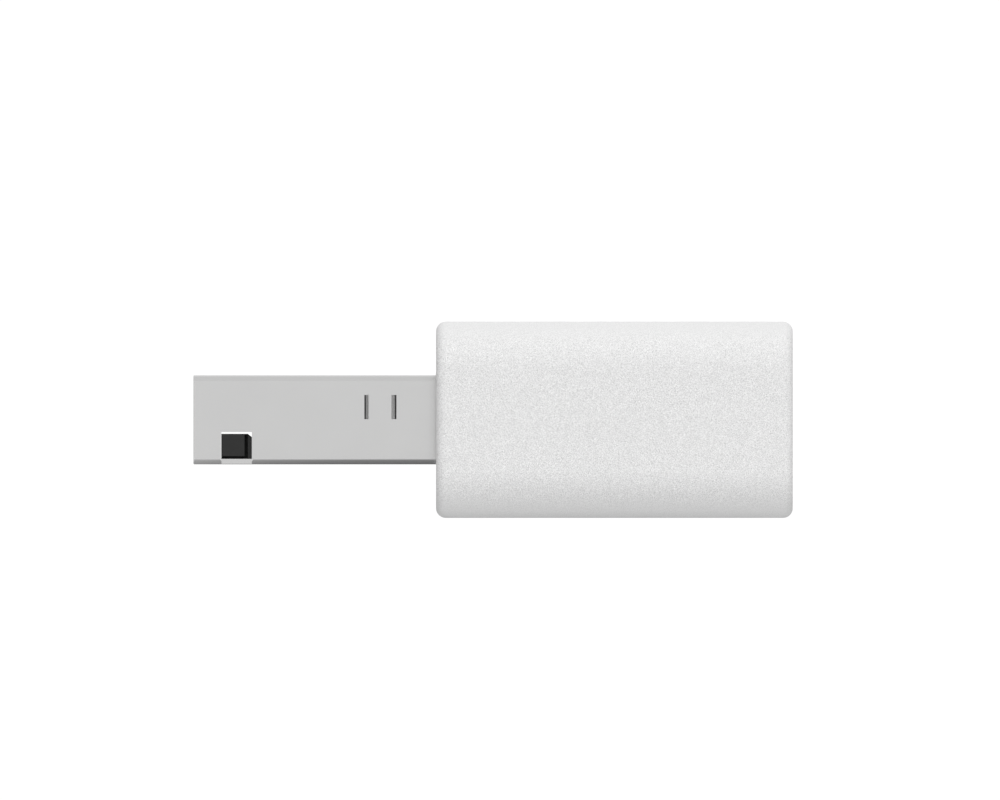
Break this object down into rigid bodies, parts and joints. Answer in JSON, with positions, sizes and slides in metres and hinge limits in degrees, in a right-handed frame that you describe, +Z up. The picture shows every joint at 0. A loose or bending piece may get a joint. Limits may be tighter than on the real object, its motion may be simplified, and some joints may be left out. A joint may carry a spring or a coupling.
{
  "type": "usb wifi adapter",
  "caption": "Compact USB Wi-Fi adapter: a folded steel USB-A plug standing out of a rounded white housing that holds a circuit board.",
  "frame": {"origin": "the middle of the plug's section where the plug leaves the housing's front face", "axes": "+X from the plug towards the housing's rear, so the plug points along -X; +Y across the width; +Z up, the side that the plug's contacts face"},
  "size_m": [0.0302, 0.018, 0.0098],
  "materials": {
    "housing_plastic": "white, finely textured",
    "light_pipe_plastic": "milky clear",
    "plated_steel": "satin nickel plating",
    "insulator_plastic": "black, moulded",
    "contact_gold": "gold plated",
    "board_laminate": "green solder mask",
    "board_gold": "immersion gold",
    "chip_resin": "dark moulded resin",
    "tinned_metal": "matt tin",
    "shield_metal": "tinned, rolled",
    "solder": "bright solder",
    "thermal_silicone": "soft grey",
    "capacitor_ceramic": "fired ceramic",
    "resistor_film": "black glaze",
    "crystal_ceramic": "fired ceramic",
    "crystal_lid_metal": "welded lid",
    "inductor_ferrite": "moulded ferrite",
    "led_base_plastic": "white laminate",
    "led_lens_resin": "tinted clear resin",
    "antenna_metal": "tinned, stamped"
  },
  "bodies": {
    "root": {"housing_sleeve": "housing_plastic", "front_bezel": "housing_plastic", "light_pipe": "light_pipe_plastic", "plug_shell": "plated_steel", "plug_insulator": "insulator_plastic", "contact_power": "contact_gold", "contact_data_minus": "contact_gold", "contact_data_plus": "contact_gold", "contact_ground": "contact_gold", "circuit_board": "board_laminate", "contact_pads": "board_gold", "leg_solder": "solder", "shield_frame": "shield_metal", "shield_lid": "shield_metal", "thermal_pad": "thermal_silicone", "antenna_left": "antenna_metal", "antenna_right": "antenna_metal", "wifi_chip": "chip_resin", "wifi_chip_pads": "tinned_metal", "memory_chip": "chip_resin", "memory_chip_pads": "tinned_metal", "crystal_case": "crystal_ceramic", "crystal_lid": "crystal_lid_metal", "usb_protection": "chip_resin", "usb_protection_leads": "tinned_metal", "voltage_regulator": "chip_resin", "voltage_regulator_leads": "tinned_metal", "power_inductor": "inductor_ferrite", "inductor_terminals": "tinned_metal", "status_led": "led_base_plastic", "led_lens": "led_lens_resin", "capacitors": "capacitor_ceramic", "capacitor_ends": "tinned_metal", "resistors": "resistor_film", "resistor_ends": "tinned_metal"}
  },
  "joints": []
}
